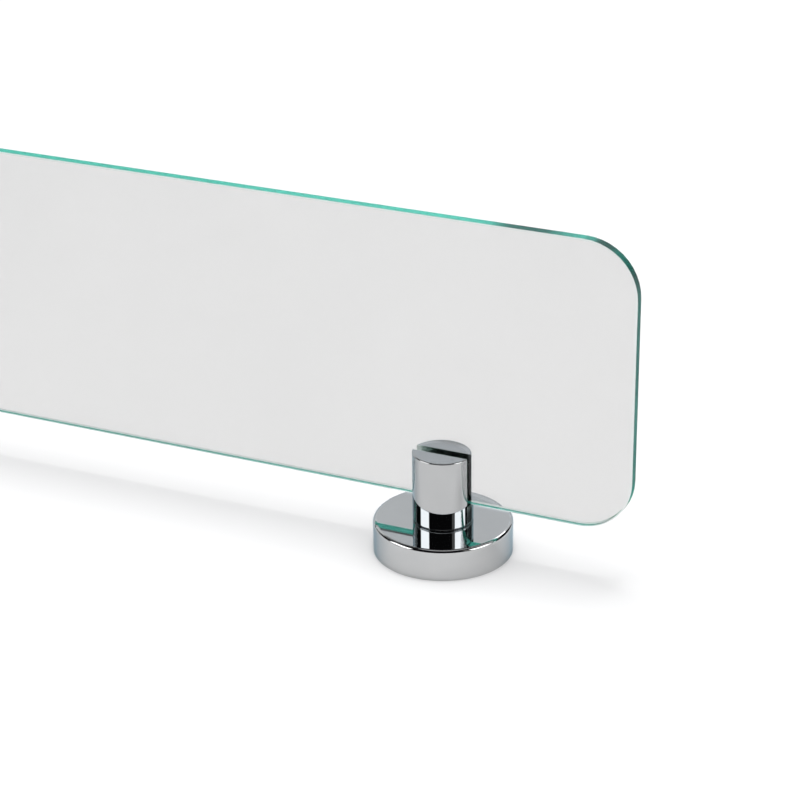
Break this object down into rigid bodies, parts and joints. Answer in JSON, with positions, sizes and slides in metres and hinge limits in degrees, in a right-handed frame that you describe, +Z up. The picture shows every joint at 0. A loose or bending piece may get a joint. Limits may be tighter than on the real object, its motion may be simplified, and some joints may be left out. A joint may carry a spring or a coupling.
{
  "type": "wall shelf",
  "caption": "Clear glass wall shelf with rounded corners, clamped in slotted chrome posts that stand on round chrome wall rosettes.",
  "frame": {"origin": "on the wall plane, midway between the two brackets, level with the middle of the glass", "axes": "+X along the shelf, to the right as seen from the front; +Y into the wall; +Z up, out of the face that things stand on"},
  "size_m": [0.6, 0.1429, 0.0564],
  "materials": {
    "glass": "clear float glass with a green tint in its polished edges",
    "rosette_chrome": "polished chrome plate",
    "post_chrome": "polished chrome plate",
    "clear_liner": "clear soft plastic",
    "plate_steel": "zinc plated steel",
    "bolt_steel": "zinc plated steel",
    "screw_steel": "stainless steel",
    "nylon": "natural nylon"
  },
  "bodies": {
    "brackets": {"rosette_left": "rosette_chrome", "post_left": "post_chrome", "slot_liner_left": "clear_liner", "wall_plate_left": "plate_steel", "post_bolt_left": "bolt_steel", "post_washer_left": "bolt_steel", "rosette_lock_screw_left": "screw_steel", "rosette_right": "rosette_chrome", "post_right": "post_chrome", "slot_liner_right": "clear_liner", "wall_plate_right": "plate_steel", "post_bolt_right": "bolt_steel", "post_washer_right": "bolt_steel", "rosette_lock_screw_right": "screw_steel"},
    "glass": {"glass_shelf": "glass"},
    "clamp_pad_left": {"clamp_pad_left": "nylon"},
    "clamp_screw_left": {"clamp_screw_left": "screw_steel"},
    "clamp_pad_right": {"clamp_pad_right": "nylon"},
    "clamp_screw_right": {"clamp_screw_right": "screw_steel"}
  },
  "joints": [
    {"name": "glass_slide", "type": "slide", "parent": "brackets", "child": "glass", "axis": [0, -1, 0], "range_m": [0, 0.02]},
    {"name": "clamp_travel_left", "type": "slide", "parent": "brackets", "child": "clamp_pad_left", "axis": [0, 0, -1], "range_m": [0, 0.0012]},
    {"name": "clamp_turn_left", "type": "hinge", "parent": "clamp_pad_left", "child": "clamp_screw_left", "pos_m": [-0.22, -0.031, -0.008], "axis": [0, 0, -1], "range_deg": [0, 540]},
    {"name": "clamp_travel_right", "type": "slide", "parent": "brackets", "child": "clamp_pad_right", "axis": [0, 0, -1], "range_m": [0, 0.0012]},
    {"name": "clamp_turn_right", "type": "hinge", "parent": "clamp_pad_right", "child": "clamp_screw_right", "pos_m": [0.22, -0.031, -0.008], "axis": [0, 0, -1], "range_deg": [0, 540]}
  ],
  "couplings": [
    {"joint": "clamp_turn_left", "follows": "clamp_travel_left", "rad_per_m": 7854},
    {"joint": "clamp_turn_right", "follows": "clamp_travel_right", "rad_per_m": 7854}
  ]
}
